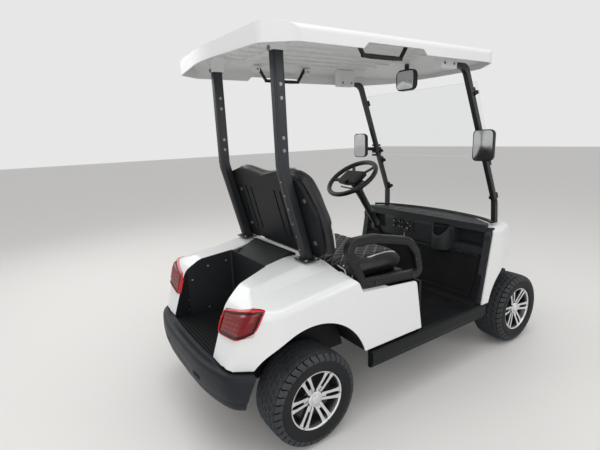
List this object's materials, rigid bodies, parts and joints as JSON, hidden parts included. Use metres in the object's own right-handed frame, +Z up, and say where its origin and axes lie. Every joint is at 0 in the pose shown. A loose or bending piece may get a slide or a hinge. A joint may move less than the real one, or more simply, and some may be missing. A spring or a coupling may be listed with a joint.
{
  "type": "two-seat golf cart",
  "caption": "Electric two-seat golf cart with roof, folding clear screen, open bag well, quilted bench seat and alloy wheels.",
  "frame": {"origin": "on the floor, below the middle of the cart's overall box", "axes": "+Z up, -Y towards the cart's front, +X towards its left side"},
  "size_m": [1.215, 2.44, 1.8859],
  "materials": {
    "white_paint": "gloss white moulded body panels",
    "dark_plastic": "textured dark plastic",
    "bumper_plastic": "textured blue-grey plastic",
    "black_vinyl": "black vinyl with pale stitching",
    "black_steel": "satin black powder coat",
    "anthracite_steel": "satin anthracite powder coat",
    "bare_steel": "bare dark steel",
    "alloy": "machined and black painted alloy",
    "tyre_rubber": "black tyre rubber",
    "clear_screen": "clear screen",
    "red_lens": "red lamp lens",
    "clear_lens": "headlamp lens",
    "mirror_shell": "dark mirror shell",
    "battery_case": "battery cases"
  },
  "bodies": {
    "chassis": {"access_cover": "dark_plastic", "arch_liners": "dark_plastic", "armrests": "dark_plastic", "bagwell_liner": "dark_plastic", "battery_pack": "battery_case", "centre_mirror": "mirror_shell", "dash": "dark_plastic", "drive_motor": "bare_steel", "floor": "dark_plastic", "frame": "black_steel", "front_axle": "black_steel", "front_bumper": "bumper_plastic", "front_cowl": "white_paint", "front_posts": "black_steel", "grab_handles": "dark_plastic", "headlamps": "clear_lens", "leaf_springs": "bare_steel", "pedals": "dark_plastic", "rear_axle": "bare_steel", "rear_body": "white_paint", "rear_bumper": "bumper_plastic", "rear_struts": "anthracite_steel", "rockers": "dark_plastic", "roof": "white_paint", "roof_brackets": "white_paint", "seat_back": "black_vinyl", "seat_back_shell": "dark_plastic", "seat_base": "dark_plastic", "shock_absorbers": "black_steel", "side_mirrors": "mirror_shell", "steering_column": "black_steel", "tail_lamps": "red_lens", "windshield_clips": "dark_plastic", "windshield_lower": "clear_screen", "windshield_upper": "clear_screen"},
    "front_right_wheel": {"tyre_front_right": "tyre_rubber", "rim_front_right": "alloy"},
    "front_left_wheel": {"tyre_front_left": "tyre_rubber", "rim_front_left": "alloy"},
    "rear_right_wheel": {"tyre_rear_right": "tyre_rubber", "rim_rear_right": "alloy"},
    "rear_left_wheel": {"tyre_rear_left": "tyre_rubber", "rim_rear_left": "alloy"},
    "right_knuckle": {"knuckle_right": "bare_steel"},
    "left_knuckle": {"knuckle_left": "bare_steel"},
    "tie_rod": {"tie_rod": "bare_steel"},
    "steering_wheel": {"steering_wheel": "dark_plastic"},
    "seat": {"seat_cushion": "black_vinyl", "seat_board": "dark_plastic"}
  },
  "joints": [
    {"name": "steer_right", "type": "hinge", "parent": "chassis", "child": "right_knuckle", "pos_m": [-0.38, -0.895, 0.233], "axis": [0, 0, 1], "range_deg": [-28, 28]},
    {"name": "front_right_spin", "type": "hinge", "parent": "right_knuckle", "child": "front_right_wheel", "pos_m": [-0.505, -0.895, 0.233], "axis": [1, 0, 0], "continuous": true},
    {"name": "rear_right_spin", "type": "hinge", "parent": "chassis", "child": "rear_right_wheel", "pos_m": [-0.492, 0.775, 0.233], "axis": [1, 0, 0], "continuous": true},
    {"name": "steer_left", "type": "hinge", "parent": "chassis", "child": "left_knuckle", "pos_m": [0.38, -0.895, 0.233], "axis": [0, 0, 1], "range_deg": [-28, 28]},
    {"name": "front_left_spin", "type": "hinge", "parent": "left_knuckle", "child": "front_left_wheel", "pos_m": [0.505, -0.895, 0.233], "axis": [1, 0, 0], "continuous": true},
    {"name": "rear_left_spin", "type": "hinge", "parent": "chassis", "child": "rear_left_wheel", "pos_m": [0.492, 0.775, 0.233], "axis": [1, 0, 0], "continuous": true},
    {"name": "steering_wheel_turn", "type": "hinge", "parent": "chassis", "child": "steering_wheel", "pos_m": [0.28, -0.194, 1.124], "axis": [0, 0.5505, 0.8348], "range_deg": [-340, 340]},
    {"name": "tie_rod_slide", "type": "slide", "parent": "chassis", "child": "tie_rod", "axis": [1, 0, 0], "range_m": [-0.06, 0.06]},
    {"name": "seat_lift", "type": "hinge", "parent": "chassis", "child": "seat", "pos_m": [0, 0.068, 0.6707], "axis": [1, 0, 0], "range_deg": [0, 60]}
  ],
  "couplings": [
    {"joint": "steer_left", "follows": "steer_right", "ratio": 1},
    {"joint": "steering_wheel_turn", "follows": "steer_right", "ratio": 12},
    {"joint": "tie_rod_slide", "follows": "steer_right", "m_per_rad": -0.095}
  ]
}
